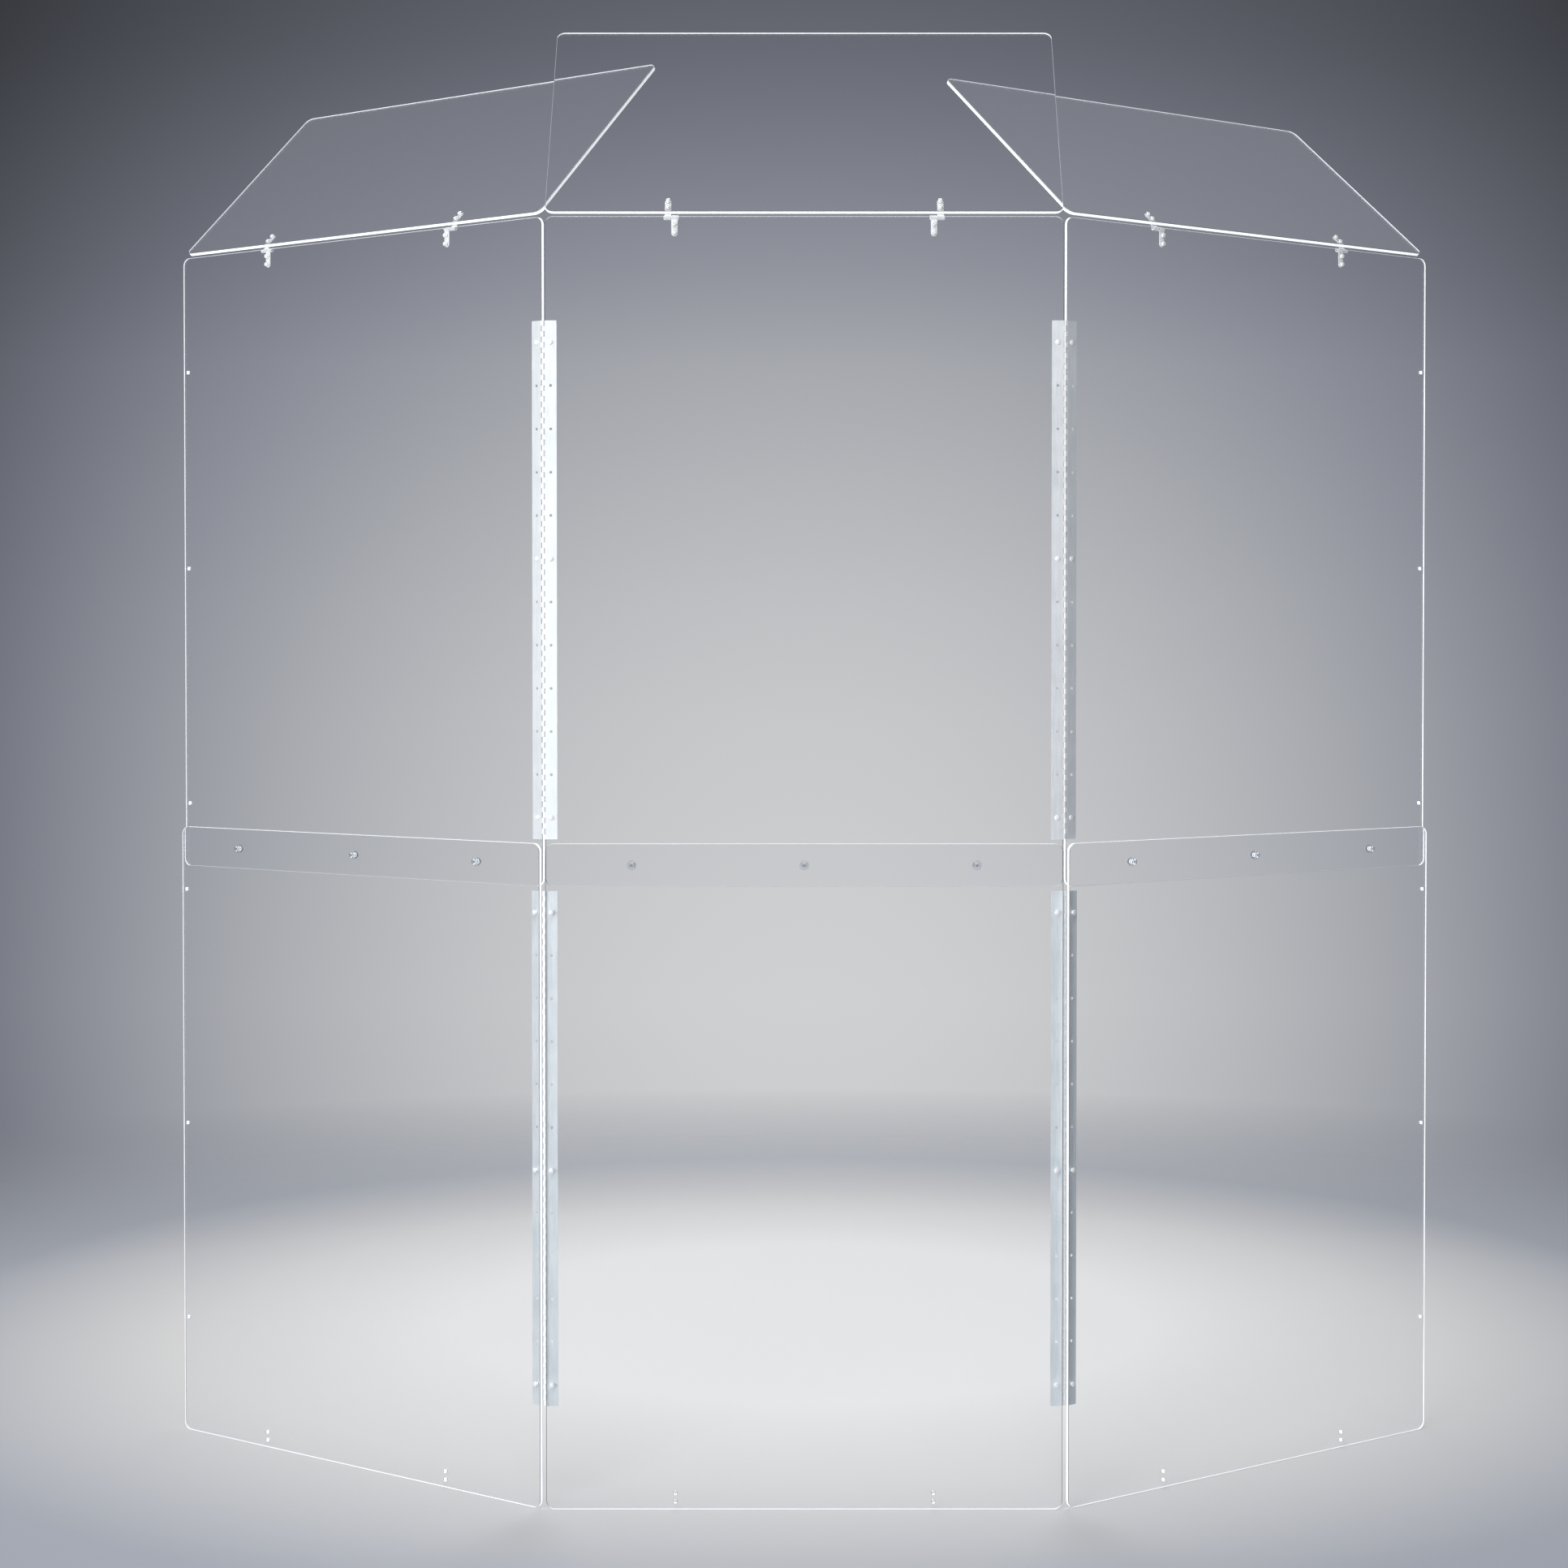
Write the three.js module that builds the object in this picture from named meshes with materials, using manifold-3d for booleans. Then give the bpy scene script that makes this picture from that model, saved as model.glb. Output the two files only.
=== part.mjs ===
// Clear folding drum shield in three bays. Each bay is a lower and an upper acrylic sheet bolted
// through a lap, with a deflector above it that tilts on two friction hinges. Piano hinges join the
// bays. Millimetres, +Z up. The audience is on the -Y side and the player on the +Y side, and the
// origin is the middle of the lower centre sheet's bottom edge.
import * as THREE from "three";
import { mergeVertices } from "three/addons/utils/BufferGeometryUtils.js";
import Module from "manifold-3d";

const wasm = await Module();
wasm.setup();

// Sheets
const sheet_t = 5;
const panel_w = 609.6;
const panel_h = 787.4;
const lap = 50.8;
const corner_r = 10;
const deflector_h = 304.8;
const wing_deflector_trim = 7; // taken off beside the piano hinge, to pass behind the centre one

// Angles as the shield stands, in degrees
const fold_angle = 35.3;
const centre_tilt = 35.6;
const left_tilt = 46.7;
const right_tilt = 50.5;

// Clearances
const seat_gap = 0.3;
const hole_clearance = 0.5;

// Piano hinges, one to each tier on each side, all four in the plane between the two tiers
const hinge_l = 609.6;
const hinge_leaf_w = 16; // from the pin's axis to the leaf's free edge
const hinge_leaf_t = 0.8;
const hinge_barrel_r = 1.6;
const hinge_pin_r = 0.75;
const knuckle_pitch = 43.5;
const hinge_to_lap = 5;
const hinge_hole_pitch = 50.8;
const hinge_hole_r = 1.65;
const hinge_hole_inset = 7; // from the sheet's edge to the row of holes
const leaf_join = 1.1; // how far a knuckle's root runs into its leaf

// Rivets of the piano hinges and screws of the friction hinges
const fixing_shank_r = 1.6;
const hinge_head_r = 3.15;
const clip_head_r = 2.6;
const fixing_head_h = 1.4;

// Friction hinges of the deflectors
const clip_spacing = 312.6; // between the middles of a bay's two barrels
const clip_barrel_l = 18;
const clip_barrel_r = 2.7;
const clip_pin_r = 1.1;
const clip_leaf_w = 7.5;
const clip_leaf_t = 1.2;
const clip_axis_drop = 0.9; // the pin lies this far below the sheet's top edge
const clip_hole_pitch = 10.2;
const clip_hole_inset = 9; // from the sheet's end to the nearer hole
const deflector_lift = 3.25; // from the pin's axis up to the deflector's lower edge
const deflector_hole_inset = 7.5;

// Lap screws, with flanged insert nuts that also space the tiers
const lap_screw_shares = [-1 / 3, 0, 1 / 3]; // of the sheet's width, from its middle
const lap_shank_r = 1.5;
const lap_head_r = 3.6;
const lap_head_h = 1.8;
const insert_wall = 0.7;
const insert_flange_r = 5.5;
const insert_flare_r = 3.9;
const insert_flare_h = 1.5;
const lap_tip = 0.6; // screw standing out behind its nut

// Facets
const corner_steps = 4;
const hole_sides = 6;
const round_sides = 8;

// Places that follow from the sizes, with y from the lower sheet's middle plane
const total_h = 2 * panel_h - lap;
const axis_to_edge = hinge_barrel_r + seat_gap;
const hinge_x = panel_w / 2 + axis_to_edge;
const lower_front = -sheet_t / 2;
const lower_back = lower_front + sheet_t;
const leaf_front = lower_back + seat_gap;
const leaf_back = leaf_front + hinge_leaf_t;
const upper_front = leaf_back + seat_gap;
const upper_back = upper_front + sheet_t;
const axis_y = leaf_front + hinge_barrel_r;
const clip_axis_y = upper_back + seat_gap + clip_barrel_r;
const clip_axis_z = total_h - clip_axis_drop;
const hinge_from_end = panel_h - lap - hinge_to_lap - hinge_l;
const hinge_hole_x = axis_to_edge + hinge_hole_inset;
const hole_count = Math.round(hinge_l / hinge_hole_pitch);
const first_hole = (hinge_l - (hole_count - 1) * hinge_hole_pitch) / 2;
const fixed_holes = [0, Math.floor((hole_count - 1) / 2), hole_count - 1];
const clip_leaf_x = (seat_gap + clip_leaf_w) / 2; // from the barrel's middle to a leaf's middle
const fixing_hole_r = fixing_shank_r + hole_clearance;
const insert_bore_r = lap_shank_r + seat_gap;
const insert_r = insert_bore_r + insert_wall;

// The two tiers are one sheet, the upper turned end for end. v is measured from the outer end.
const tiers = [
  { name: "lower", front: lower_front, z_at: (v) => v, stack: [lower_front - seat_gap, leaf_back] },
  { name: "upper", front: upper_front, z_at: (v) => total_h - v, stack: [leaf_front, upper_back + seat_gap] },
];

const clear = new THREE.MeshStandardMaterial({
  color: 0xe9eff3,
  roughness: 0.05,
  transparent: true,
  opacity: 0.25,
});
const metal = new THREE.MeshStandardMaterial({ color: 0xdfe5e8, roughness: 0.3, metalness: 0.9 });
const bright = new THREE.MeshStandardMaterial({ color: 0xf2f4f5, roughness: 0.2, metalness: 0.9 });

const radians = (degrees) => (degrees * Math.PI) / 180;
const past_flats = (r, sides) => r / Math.cos(Math.PI / sides);

// Closed geometry as a solid that can be joined and cut
function solid(geometry) {
  const bare = geometry.clone();
  bare.deleteAttribute("normal");
  bare.deleteAttribute("uv");
  const merged = mergeVertices(bare);
  return new wasm.Manifold(
    new wasm.Mesh({
      numProp: 3,
      vertProperties: merged.attributes.position.array,
      triVerts: Uint32Array.from(merged.index.array),
    }),
  );
}

function joined(geometries) {
  const mesh = geometries.map(solid).reduce((whole, piece) => whole.add(piece)).getMesh();
  return new THREE.BufferGeometry()
    .setAttribute("position", new THREE.BufferAttribute(mesh.vertProperties, mesh.numProp))
    .setIndex(new THREE.BufferAttribute(mesh.triVerts, 1))
    .toNonIndexed();
}

function put(group, name, geometry, material, x = 0, y = 0, z = 0) {
  geometry.computeVertexNormals();
  const mesh = new THREE.Mesh(geometry, material);
  mesh.name = name;
  mesh.position.set(x, y, z);
  group.add(mesh);
}

// A regular polygon round (x, z) whose flats lie at radius r
function round_hole(x, z, r, sides) {
  const turn = (i) => ((i + 1 / 2) * 2 * Math.PI) / sides;
  const corners = Array.from({ length: sides }, (_, i) => {
    const reach = past_flats(r, sides);
    return new THREE.Vector2(x + reach * Math.cos(turn(i)), z + reach * Math.sin(turn(i)));
  });
  return new THREE.Path(corners);
}

// An outline with rounded corners. low and high are opposite corners, radii run round from low.
function rounded_outline(low, high, radii) {
  const corners = [
    [low[0], low[1], Math.PI],
    [high[0], low[1], 1.5 * Math.PI],
    [high[0], high[1], 0],
    [low[0], high[1], 0.5 * Math.PI],
  ];
  const points = corners.flatMap(([x, z, start], i) => {
    const centre_x = x + (x === low[0] ? radii[i] : -radii[i]);
    const centre_z = z + (z === low[1] ? radii[i] : -radii[i]);
    const steps = radii[i] > 0 ? corner_steps : 0;
    return Array.from({ length: steps + 1 }, (_, step) => {
      const angle = start + ((step / Math.max(steps, 1)) * Math.PI) / 2;
      return new THREE.Vector2(centre_x + radii[i] * Math.cos(angle), centre_z + radii[i] * Math.sin(angle));
    });
  });
  return new THREE.Shape(points);
}

// An outline in x and z made into a plate whose front face is at y = front
function plate(outline, holes, thickness, front) {
  outline.holes = holes;
  const geometry = new THREE.ExtrudeGeometry(outline, { depth: thickness, bevelEnabled: false });
  return geometry.rotateX(Math.PI / 2).translate(0, front + thickness, 0);
}

// A shape of revolution about Y, from its radii and y values
function turned(profile, sides) {
  const points = profile.map(([r, y]) => new THREE.Vector2(past_flats(r, sides), y));
  return new THREE.LatheGeometry(points, sides, Math.PI / sides);
}

// Rivet or screw through a stack of layers along Y, with a low head at each end
function through_fixing(head_r, [front, back]) {
  const profile = [
    [0, front - fixing_head_h],
    [head_r, front],
    [fixing_shank_r, front],
    [fixing_shank_r, back],
    [head_r, back],
    [0, back + fixing_head_h],
  ];
  return turned(profile, hole_sides);
}

function sheet_holes(z_at) {
  const holes = [];
  for (const side of [-1, 1]) {
    for (const inset of [clip_hole_inset, clip_hole_inset + clip_hole_pitch]) {
      const x = side * (clip_spacing / 2 - clip_leaf_x);
      holes.push(round_hole(x, z_at(inset), fixing_hole_r, hole_sides));
    }
    for (const index of fixed_holes) {
      const x = side * (panel_w / 2 - hinge_hole_inset);
      const v = hinge_from_end + first_hole + index * hinge_hole_pitch;
      holes.push(round_hole(x, z_at(v), fixing_hole_r, hole_sides));
    }
  }
  for (const share of lap_screw_shares) {
    const v = panel_h - lap / 2;
    holes.push(round_hole(share * panel_w, z_at(v), insert_r + seat_gap, round_sides));
  }
  return holes;
}

function panel(tier) {
  const ends = [tier.z_at(0), tier.z_at(panel_h)];
  const low = [-panel_w / 2, Math.min(...ends)];
  const high = [panel_w / 2, Math.max(...ends)];
  const outline = rounded_outline(low, high, [corner_r, corner_r, corner_r, corner_r]);
  return plate(outline, sheet_holes(tier.z_at), sheet_t, tier.front);
}

// Lap screw from the front, and its insert nut: a flange between the tiers, a barrel through the
// upper sheet and a flared rear end
function lap_screw() {
  const head_y = lower_front - seat_gap;
  const profile = [
    [0, head_y - lap_head_h],
    [lap_head_r, head_y],
    [lap_shank_r, head_y],
    [lap_shank_r, upper_back + seat_gap + insert_flare_h + lap_tip],
    [0, upper_back + seat_gap + insert_flare_h + lap_tip],
  ];
  return turned(profile, round_sides);
}

function lap_insert() {
  const flare_y = upper_back + seat_gap;
  const profile = [
    [insert_bore_r, leaf_front],
    [insert_flange_r, leaf_front],
    [insert_flange_r, leaf_back],
    [insert_r, leaf_back],
    [insert_r, flare_y],
    [insert_flare_r, flare_y],
    [insert_r, flare_y + insert_flare_h],
    [insert_bore_r, flare_y + insert_flare_h],
    [insert_bore_r, leaf_front],
  ];
  return turned(profile, round_sides);
}

// One rolled knuckle about the pin, seen along it, with the root of its leaf. way is +1 or -1.
function knuckle_outline(way) {
  const roll = 1.5 * Math.PI + Math.asin((hinge_barrel_r - hinge_leaf_t) / hinge_barrel_r);
  const root = way * (axis_to_edge + leaf_join);
  const points = [new THREE.Vector2(root, -hinge_barrel_r)];
  for (let step = 0; step <= hole_sides; step += 1) {
    const angle = -Math.PI / 2 - (step / hole_sides) * roll;
    points.push(new THREE.Vector2(way * hinge_barrel_r * Math.cos(angle), hinge_barrel_r * Math.sin(angle)));
  }
  points.push(new THREE.Vector2(root, hinge_leaf_t - hinge_barrel_r));
  const outline = new THREE.Shape(points);
  outline.holes = [round_hole(0, 0, hinge_pin_r + seat_gap, hole_sides)];
  return outline;
}

// A piano hinge leaf about its pin at x = 0, y = 0. first is its lowest knuckle, 0 or 1.
function hinge_leaf(tier, way, first) {
  const start = Math.min(tier.z_at(hinge_from_end), tier.z_at(hinge_from_end + hinge_l));
  const hole_z = (index) => tier.z_at(hinge_from_end + first_hole + index * hinge_hole_pitch);
  const edges = [way * axis_to_edge, way * hinge_leaf_w];
  const outline = rounded_outline(
    [Math.min(...edges), start],
    [Math.max(...edges), start + hinge_l],
    [0, 0, 0, 0],
  );
  const open = Array.from({ length: hole_count }, (_, i) => i).filter((i) => !fixed_holes.includes(i));
  const holes = open.map((i) => round_hole(way * hinge_hole_x, hole_z(i), hinge_hole_r, hole_sides));
  const pieces = [plate(outline, holes, hinge_leaf_t, -hinge_barrel_r)];
  const knuckle_count = Math.round(hinge_l / knuckle_pitch);
  const pitch = hinge_l / knuckle_count;
  for (let i = first; i < knuckle_count; i += 2) {
    const knuckle = new THREE.ExtrudeGeometry(knuckle_outline(way), {
      depth: pitch - seat_gap,
      bevelEnabled: false,
    });
    pieces.push(knuckle.translate(0, 0, start + i * pitch + seat_gap / 2));
  }
  for (const index of fixed_holes) {
    const stack = tier.stack.map((y) => y - axis_y);
    pieces.push(through_fixing(hinge_head_r, stack).translate(way * hinge_hole_x, 0, hole_z(index)));
  }
  return joined(pieces);
}

function hinge_pin() {
  return new THREE.CylinderGeometry(hinge_pin_r, hinge_pin_r, hinge_l, round_sides).rotateX(Math.PI / 2);
}

// A leaf of a friction hinge about its pin at y = 0, z = 0. It runs down from the pin where up is
// -1 and up where it is +1. Its knuckle is on the side of the barrel's middle that way names.
function clip_leaf(way, up, hole_places, stack) {
  const ring = new THREE.Shape(round_hole(0, 0, clip_barrel_r, round_sides).getPoints());
  ring.holes = [round_hole(0, 0, clip_pin_r + seat_gap, hole_sides)];
  const knuckle_l = (clip_barrel_l - seat_gap) / 2;
  const middle = (way * (knuckle_l + seat_gap)) / 2;
  const knuckle = new THREE.ExtrudeGeometry(ring, { depth: knuckle_l, bevelEnabled: false })
    .rotateY(Math.PI / 2)
    .translate(middle - knuckle_l / 2, 0, 0);
  const end = up * (Math.max(...hole_places) + clip_leaf_w / 2);
  const x = way * clip_leaf_x;
  const rounding = clip_leaf_w / 2;
  const radii = up > 0 ? [0, 0, rounding, rounding] : [rounding, rounding, 0, 0];
  const outline = rounded_outline(
    [x - clip_leaf_w / 2, Math.min(0, end)],
    [x + clip_leaf_w / 2, Math.max(0, end)],
    radii,
  );
  const screws = hole_places.map((place) => through_fixing(clip_head_r, stack).translate(x, 0, up * place));
  return joined([knuckle, plate(outline, [], clip_leaf_t, -clip_barrel_r), ...screws]);
}

function clip_pin() {
  return new THREE.CylinderGeometry(clip_pin_r, clip_pin_r, clip_barrel_l, round_sides).rotateZ(Math.PI / 2);
}

const clip_stack = [-clip_barrel_r - 2 * seat_gap - sheet_t, clip_leaf_t - clip_barrel_r];

// A deflector about its pins' axis, upright. trim is taken off its end on the side that it names.
function deflector(trim_side, trim) {
  const low_x = -panel_w / 2 + (trim_side < 0 ? trim : 0);
  const high_x = panel_w / 2 - (trim_side > 0 ? trim : 0);
  const outline = rounded_outline(
    [low_x, deflector_lift],
    [high_x, deflector_lift + deflector_h],
    [corner_r, corner_r, corner_r, corner_r],
  );
  const holes = [];
  for (const side of [-1, 1]) {
    for (const inset of [deflector_hole_inset, deflector_hole_inset + clip_hole_pitch]) {
      const x = side * (clip_spacing / 2 + clip_leaf_x);
      holes.push(round_hole(x, deflector_lift + inset, fixing_hole_r, hole_sides));
    }
  }
  return plate(outline, holes, sheet_t, -clip_barrel_r - seat_gap - sheet_t);
}

// The deflector of a bay, with its two friction hinges
function add_deflector(frame, bay) {
  const leaning = new THREE.Group();
  leaning.position.set(0, clip_axis_y, clip_axis_z);
  leaning.rotation.x = -radians(bay.tilt);
  frame.add(leaning);
  put(leaning, bay.name + "_deflector", deflector(-bay.side, bay.side === 0 ? 0 : wing_deflector_trim), clear);
  const panel_holes = [clip_hole_inset, clip_hole_inset + clip_hole_pitch].map((v) => v - clip_axis_drop);
  const deflector_holes = [deflector_hole_inset, deflector_hole_inset + clip_hole_pitch].map(
    (v) => v + deflector_lift,
  );
  for (const [side, place] of [[-1, "left"], [1, "right"]]) {
    const name = bay.name + "_" + place + "_clip";
    const x = (side * clip_spacing) / 2;
    const panel_leaf = clip_leaf(-side, -1, panel_holes, clip_stack);
    put(frame, name + "_panel_leaf", panel_leaf, metal, x, clip_axis_y, clip_axis_z);
    put(frame, name + "_pin", clip_pin(), bright, x, clip_axis_y, clip_axis_z);
    const deflector_leaf = clip_leaf(side, 1, deflector_holes, clip_stack);
    put(leaning, name + "_deflector_leaf", deflector_leaf, metal, x);
  }
}

// The two sheets of a bay and the fasteners through their lap
function add_panels(frame, bay) {
  for (const tier of tiers) {
    put(frame, bay.name + "_" + tier.name + "_panel", panel(tier), clear);
  }
  lap_screw_shares.forEach((share, i) => {
    const z = panel_h - lap / 2;
    put(frame, bay.name + "_lap_screw_" + (i + 1), lap_screw(), clear, share * panel_w, 0, z);
    put(frame, bay.name + "_lap_insert_" + (i + 1), lap_insert(), clear, share * panel_w, 0, z);
  });
}

// The frame of a bay, at its lower sheet's middle. A wing's frame hangs on the piano hinge's axis.
function bay_frame(shield, side) {
  const frame = new THREE.Group();
  if (side === 0) {
    shield.add(frame);
    return frame;
  }
  const pivot = new THREE.Group();
  pivot.position.set(side * hinge_x, axis_y, 0);
  pivot.rotation.z = side * radians(fold_angle);
  frame.position.set(side * hinge_x, -axis_y, 0);
  shield.add(pivot);
  pivot.add(frame);
  return frame;
}

// Both piano hinges between the centre bay and a wing
function add_hinges(centre_frame, wing_frame, bay) {
  for (const tier of tiers) {
    const name = bay.name + "_" + tier.name + "_hinge";
    const middle = tier.z_at(hinge_from_end + hinge_l / 2);
    const x = bay.side * hinge_x;
    put(centre_frame, name + "_centre_leaf", hinge_leaf(tier, -bay.side, 0), metal, x, axis_y);
    put(centre_frame, name + "_pin", hinge_pin(), bright, x, axis_y, middle);
    put(wing_frame, name + "_wing_leaf", hinge_leaf(tier, bay.side, 1), metal, -x, axis_y);
  }
}

const bays = [
  { name: "centre", side: 0, tilt: centre_tilt },
  { name: "left", side: -1, tilt: left_tilt },
  { name: "right", side: 1, tilt: right_tilt },
];

function drum_shield() {
  const shield = new THREE.Group();
  const frames = bays.map((bay) => bay_frame(shield, bay.side));
  bays.forEach((bay, i) => {
    add_panels(frames[i], bay);
    add_deflector(frames[i], bay);
    if (bay.side !== 0) add_hinges(frames[0], frames[i], bay);
  });
  return shield;
}

export default drum_shield();
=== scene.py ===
# Looks of a clear folding drum shield: acrylic sheets with white edges, piano hinges with their
# fine knuckles, and friction hinges under the deflectors. Shapes are made in millimetres in the
# frame of their bay, and each piece is then put in metres where the solid that it replaces is.
import math

import bmesh
import bpy
from mathutils import Matrix, Vector
from mathutils.geometry import tessellate_polygon


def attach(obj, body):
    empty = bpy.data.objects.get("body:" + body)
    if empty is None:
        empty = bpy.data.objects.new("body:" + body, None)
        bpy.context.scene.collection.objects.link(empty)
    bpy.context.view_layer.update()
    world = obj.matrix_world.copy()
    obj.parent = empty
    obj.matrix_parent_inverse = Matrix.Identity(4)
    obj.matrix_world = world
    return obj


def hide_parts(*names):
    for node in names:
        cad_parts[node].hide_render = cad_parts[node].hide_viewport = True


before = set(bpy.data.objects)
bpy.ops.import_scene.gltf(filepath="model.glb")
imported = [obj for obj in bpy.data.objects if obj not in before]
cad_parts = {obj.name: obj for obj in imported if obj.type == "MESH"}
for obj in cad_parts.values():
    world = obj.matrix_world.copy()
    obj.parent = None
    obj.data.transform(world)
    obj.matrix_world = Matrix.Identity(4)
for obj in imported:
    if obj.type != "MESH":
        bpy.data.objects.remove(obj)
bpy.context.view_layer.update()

MM = 0.001

# Sheets
SHEET_T = 5.0
PANEL_W = 609.6
PANEL_H = 787.4
LAP = 50.8
CORNER_R = 10.0
DEFLECTOR_H = 304.8
WING_DEFLECTOR_TRIM = 7.0
SHEET_ARRIS = 0.35
EDGE_BORDER = 0.4
HOLE_R = 2.1

# Angles as the shield stands, in degrees
FOLD_ANGLE = 35.3
CENTRE_TILT = 35.6
LEFT_TILT = 46.7
RIGHT_TILT = 50.5

# Piano hinges
SEAT_GAP = 0.3
HINGE_L = 609.6
HINGE_LEAF_W = 16.0
HINGE_LEAF_T = 0.8
BARREL_R = 1.6
HINGE_PIN_R = 0.75
KNUCKLE_PITCH = 6.35
KNUCKLE_GAP = 0.22
NOTCH_GAP = 0.1
ROOT_L = 0.6
ROOT_INSET = 0.015
PIN_FIT = 0.05
KNUCKLE_RIM = 0.12
LEAF_ARRIS = 0.1
HINGE_TO_LAP = 5.0
HINGE_HOLE_PITCH = 50.8
HINGE_HOLE_R = 1.65
HINGE_HOLE_INSET = 7.0
FREE_CORNER_R = 0.8
HINGE_PIN_ROUND = 0.3

# Rivets and screws
SHANK_R = 1.6
HINGE_HEAD_R = 3.15
CLIP_HEAD_R = 2.6
HEAD_H = 1.4
LAP_SHANK_R = 1.5
LAP_HEAD_R = 3.6
LAP_HEAD_H = 1.8
LAP_TIP = 0.6
LAP_CHAMFER = 0.5
INSERT_WALL = 0.7
INSERT_FLANGE_R = 5.5
INSERT_FLARE_R = 3.9
INSERT_FLARE_H = 1.5
INSERT_RIM = 0.2
INSERT_BARB_SHARE = 0.5
LAP_SHARES = (-1 / 3, 0, 1 / 3)

# Domed heads and their cross recess, as shares of the head's radius and height
DOME_RIM_SHARE = 0.25
RECESS_ARM_SHARE = 0.5
RECESS_WIDTH_SHARE = 0.14
RECESS_FLOOR_SHARES = (0.8, 0.7)
RECESS_MOUTH_SHARE = 0.93
RECESS_DEPTH_SHARE = 0.35
FLAT_TOP_SHARE = 0.6
HEAD_BACK_SHARE = 0.3

# Nuts, as shares of the screw head's radius and of the nut's own width and height
NUT_SIDES = 6
NUT_WIDTH_SHARE = 1.72
NUT_WALL_SHARE = 0.62
NUT_DOME_SHARES = ((0.5, 0.72), (0.38, 0.88), (0.2, 1.0))

# Friction hinges
CLIP_SPACING = 312.6
CLIP_BARREL_L = 18.0
CLIP_BARREL_R = 2.7
CLIP_PIN_R = 1.1
CLIP_LEAF_W = 7.5
CLIP_LEAF_T = 1.2
CLIP_AXIS_DROP = 0.9
CLIP_HOLE_PITCH = 10.2
CLIP_HOLE_INSET = 9.0
CLIP_ARRIS = 0.22
CLIP_CORNER_R = 0.4
CLIP_RIM = 0.35
CLIP_PIN_FIT = 0.1
CLIP_PIN_ROUND = 0.5
CLIP_END_FLAT = 0.01
DEFLECTOR_LIFT = 3.25
DEFLECTOR_HOLE_INSET = 7.5

# Fineness, with the weld in metres
ARC_STEPS = 10
CIRCLE_STEPS = 32
DOME_STEPS = 7
NUT_STEPS = 48
KNUCKLE_STEPS = 28
ROD_STEPS = 5
SHARP_ANGLE = math.radians(32)
WELD = 2e-7
TINY = 1e-6

# Places that follow, with y from the lower sheet's middle plane
TOTAL_H = 2 * PANEL_H - LAP
AXIS_TO_EDGE = BARREL_R + SEAT_GAP
HINGE_X = PANEL_W / 2 + AXIS_TO_EDGE
LOWER_FRONT = -SHEET_T / 2
LEAF_FRONT = SHEET_T / 2 + SEAT_GAP
LEAF_BACK = LEAF_FRONT + HINGE_LEAF_T
UPPER_FRONT = LEAF_BACK + SEAT_GAP
UPPER_BACK = UPPER_FRONT + SHEET_T
AXIS_Y = LEAF_FRONT + BARREL_R
CLIP_AXIS_Y = UPPER_BACK + SEAT_GAP + CLIP_BARREL_R
CLIP_AXIS_Z = TOTAL_H - CLIP_AXIS_DROP
HINGE_FROM_END = PANEL_H - LAP - HINGE_TO_LAP - HINGE_L
HINGE_HOLE_X = AXIS_TO_EDGE + HINGE_HOLE_INSET
HOLE_COUNT = round(HINGE_L / HINGE_HOLE_PITCH)
FIRST_HOLE = (HINGE_L - (HOLE_COUNT - 1) * HINGE_HOLE_PITCH) / 2
FIXED_HOLES = (0, (HOLE_COUNT - 1) // 2, HOLE_COUNT - 1)
CLIP_LEAF_X = (SEAT_GAP + CLIP_LEAF_W) / 2
INSERT_BORE_R = LAP_SHANK_R + SEAT_GAP
INSERT_R = INSERT_BORE_R + INSERT_WALL
LAP_HOLE_R = INSERT_R + SEAT_GAP
CLIP_STACK = (-CLIP_BARREL_R - 2 * SEAT_GAP - SHEET_T, CLIP_LEAF_T - CLIP_BARREL_R)
PANEL_CLIP_HOLES = (CLIP_HOLE_INSET, CLIP_HOLE_INSET + CLIP_HOLE_PITCH)
DEFLECTOR_CLIP_HOLES = (DEFLECTOR_HOLE_INSET, DEFLECTOR_HOLE_INSET + CLIP_HOLE_PITCH)

# Numbers of a sheet's edge, bore and rim materials, and of a piano hinge's bright knuckles and rivets
SHEET_KINDS = (1, 2, 3)
BRIGHT_KIND = 1

# Bays as name, side, lean of the deflector in degrees, and body
BAYS = (
    ("centre", 0, CENTRE_TILT, "centre_bay"),
    ("left", -1, LEFT_TILT, "left_wing"),
    ("right", 1, RIGHT_TILT, "right_wing"),
)


class Tier:
    """One row of sheets. The two rows are one sheet, the upper turned end for end.

    The stack is where the heads of its piano hinge's rivets begin, in front and behind.
    """

    def __init__(self, name, front, upward, stack):
        self.name = name
        self.front = front
        self.upward = upward
        self.stack = stack

    def z_at(self, v):
        """Height at a distance v from the sheet's outer end."""
        return v if self.upward else TOTAL_H - v


TIERS = (
    Tier("lower", LOWER_FRONT, True, (LOWER_FRONT - SEAT_GAP, LEAF_BACK)),
    Tier("upper", UPPER_FRONT, False, (LEAF_FRONT, UPPER_BACK + SEAT_GAP)),
)


# Camera, at the place and with the lens that the photograph's straight edges give
CAMERA_PLACE = (0.0025, -3.3283, 1.0018)
CAMERA_PITCH = 1.216
CAMERA_LENS = 65.01
CAMERA_SENSOR = 36
CAMERA_REACH = 100
CAMERA_SHIFT = (-0.01429, -0.03975)


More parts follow.
